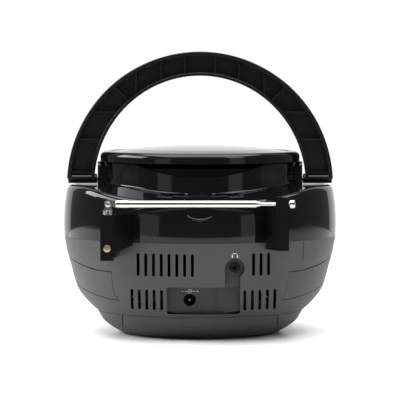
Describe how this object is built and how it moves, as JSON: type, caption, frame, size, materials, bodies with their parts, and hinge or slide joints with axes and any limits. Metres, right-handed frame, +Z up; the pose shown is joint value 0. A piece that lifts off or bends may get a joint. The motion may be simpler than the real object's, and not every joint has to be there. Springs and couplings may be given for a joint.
{
  "type": "boombox",
  "caption": "Round portable disc and radio player with a folding arch handle, telescopic aerial, hinged disc lid, two speakers and a battery bay.",
  "frame": {"origin": "centre of the object's box in X and Y, on the surface that its pads stand on; it is also the axis of the round body", "axes": "+Z up, +Y towards the rear with the aerial and sockets, -Y towards the front with the display, +X to the side where the aerial pivots"},
  "size_m": [0.2586, 0.2724, 0.2666],
  "materials": {
    "matt_shell": "fine matt moulded plastic, dark grey",
    "gloss_shell": "polished black plastic",
    "smoked_window": "polished smoked plastic",
    "lens": "coated lens",
    "display": "clear window over a grey-green display",
    "dark_plastic": "fine matt moulded plastic, black",
    "chrome": "polished plating",
    "bright_trim": "satin silver paint on plastic",
    "brass": "plain brass, slightly dulled",
    "steel": "zinc-plated steel",
    "grille": "dark powder coat on steel",
    "rubber": "matt rubber",
    "paper": "pressed paper cone",
    "board": "green lacquered circuit board"
  },
  "bodies": {
    "root": {"lower_shell": "matt_shell", "jack_panel": "matt_shell", "base_foot": "matt_shell", "cheek_panel_left": "matt_shell", "cheek_panel_right": "matt_shell", "upper_shell": "gloss_shell", "drum_rim": "gloss_shell", "antenna_post": "gloss_shell", "antenna_clip_post": "gloss_shell", "antenna_clip": "gloss_shell", "front_panel": "gloss_shell", "speaker_bezel_left": "gloss_shell", "speaker_bezel_right": "gloss_shell", "display_window": "display", "aux_jack": "dark_plastic", "battery_box": "dark_plastic", "cd_deck": "dark_plastic", "power_jack": "dark_plastic", "guide_rod_left": "chrome", "guide_rod_right": "chrome", "post_screw": "brass", "contact_plate_left": "steel", "contact_plate_right": "steel", "handle_pin_left": "steel", "handle_pin_right": "steel", "cd_chassis": "steel", "spindle_motor": "steel", "power_jack_pin": "steel", "speaker_grille_left": "grille", "speaker_grille_right": "grille", "speaker_driver_left": "grille", "speaker_driver_right": "grille", "foot_pad_front_left": "rubber", "foot_pad_front_right": "rubber", "speaker_cone_left": "paper", "speaker_cone_right": "paper", "main_board": "board"},
    "handle": {"handle": "dark_plastic"},
    "lid": {"cd_lid": "gloss_shell", "lid_window": "smoked_window"},
    "antenna_swivel": {"antenna_fork": "chrome", "antenna_pin": "steel"},
    "antenna_outer": {"antenna_tube": "chrome"},
    "antenna_middle": {"antenna_mid_tube": "chrome"},
    "antenna_inner": {"antenna_rod": "chrome"},
    "battery_door": {"battery_door": "matt_shell", "foot_pad_rear_left": "rubber", "foot_pad_rear_right": "rubber"},
    "disc_hub": {"spindle_hub": "dark_plastic"},
    "laser": {"laser_sled": "dark_plastic", "laser_lens": "lens"},
    "volume": {"volume_knob": "bright_trim"},
    "tuning": {"tuning_knob": "bright_trim"},
    "key_previous": {"button_previous": "bright_trim"},
    "key_stop": {"button_stop": "bright_trim"},
    "key_play": {"button_play": "bright_trim"},
    "key_next": {"button_next": "bright_trim"},
    "lid_key": {"button_lid": "gloss_shell"},
    "function_slide": {"function_switch": "bright_trim"},
    "band_slide": {"band_switch": "bright_trim"}
  },
  "joints": [
    {"name": "handle_fold", "type": "hinge", "parent": "root", "child": "handle", "pos_m": [0, 0, 0.146], "axis": [-1, 0, 0], "range_deg": [0, 90]},
    {"name": "lid_open", "type": "hinge", "parent": "root", "child": "lid", "pos_m": [0, 0.066, 0.1665], "axis": [-1, 0, 0], "range_deg": [0, 16]},
    {"name": "antenna_turn", "type": "hinge", "parent": "root", "child": "antenna_swivel", "pos_m": [0.083, 0.131, 0.128], "axis": [0, 0, -1], "range_deg": [0, 180], "deforming": ["antenna_clip"]},
    {"name": "antenna_tilt", "type": "hinge", "parent": "antenna_swivel", "child": "antenna_outer", "pos_m": [0.083, 0.131, 0.128], "axis": [0, 1, 0], "range_deg": [0, 90]},
    {"name": "antenna_extend_first", "type": "slide", "parent": "antenna_outer", "child": "antenna_middle", "axis": [-1, 0, 0], "range_m": [0, 0.105]},
    {"name": "antenna_extend_second", "type": "slide", "parent": "antenna_middle", "child": "antenna_inner", "axis": [-1, 0, 0], "range_m": [0, 0.1]},
    {"name": "battery_door_open", "type": "hinge", "parent": "root", "child": "battery_door", "pos_m": [0, -0.0301, 0.0005], "axis": [-1, 0, 0], "range_deg": [0, 80]},
    {"name": "disc_spin", "type": "hinge", "parent": "root", "child": "disc_hub", "pos_m": [0, 0, 0.152], "axis": [0, 0, 1], "continuous": true},
    {"name": "laser_travel", "type": "slide", "parent": "root", "child": "laser", "axis": [0, -1, 0], "range_m": [0, 0.028]},
    {"name": "volume_turn", "type": "hinge", "parent": "root", "child": "volume", "pos_m": [0.07967, -0.10197, 0.116], "axis": [0.6157, -0.788, 0], "range_deg": [-150, 150]},
    {"name": "tuning_turn", "type": "hinge", "parent": "root", "child": "tuning", "pos_m": [-0.07967, -0.10197, 0.116], "axis": [-0.6157, -0.788, 0], "range_deg": [-150, 150]},
    {"name": "previous_press", "type": "slide", "parent": "root", "child": "key_previous", "axis": [0, 1, 0], "range_m": [0, 0.0015], "stiffness_N_per_m": 400, "springref_m": -0.001},
    {"name": "stop_press", "type": "slide", "parent": "root", "child": "key_stop", "axis": [0, 1, 0], "range_m": [0, 0.0015], "stiffness_N_per_m": 400, "springref_m": -0.001},
    {"name": "play_press", "type": "slide", "parent": "root", "child": "key_play", "axis": [0, 1, 0], "range_m": [0, 0.0015], "stiffness_N_per_m": 400, "springref_m": -0.001},
    {"name": "next_press", "type": "slide", "parent": "root", "child": "key_next", "axis": [0, 1, 0], "range_m": [0, 0.0015], "stiffness_N_per_m": 400, "springref_m": -0.001},
    {"name": "lid_key_press", "type": "slide", "parent": "root", "child": "lid_key", "axis": [0, 0, -1], "range_m": [0, 0.0015], "stiffness_N_per_m": 400, "springref_m": -0.001},
    {"name": "function_select", "type": "slide", "parent": "root", "child": "function_slide", "axis": [1, 0, 0], "range_m": [0, 0.009]},
    {"name": "band_select", "type": "slide", "parent": "root", "child": "band_slide", "axis": [1, 0, 0], "range_m": [0, 0.009]}
  ]
}
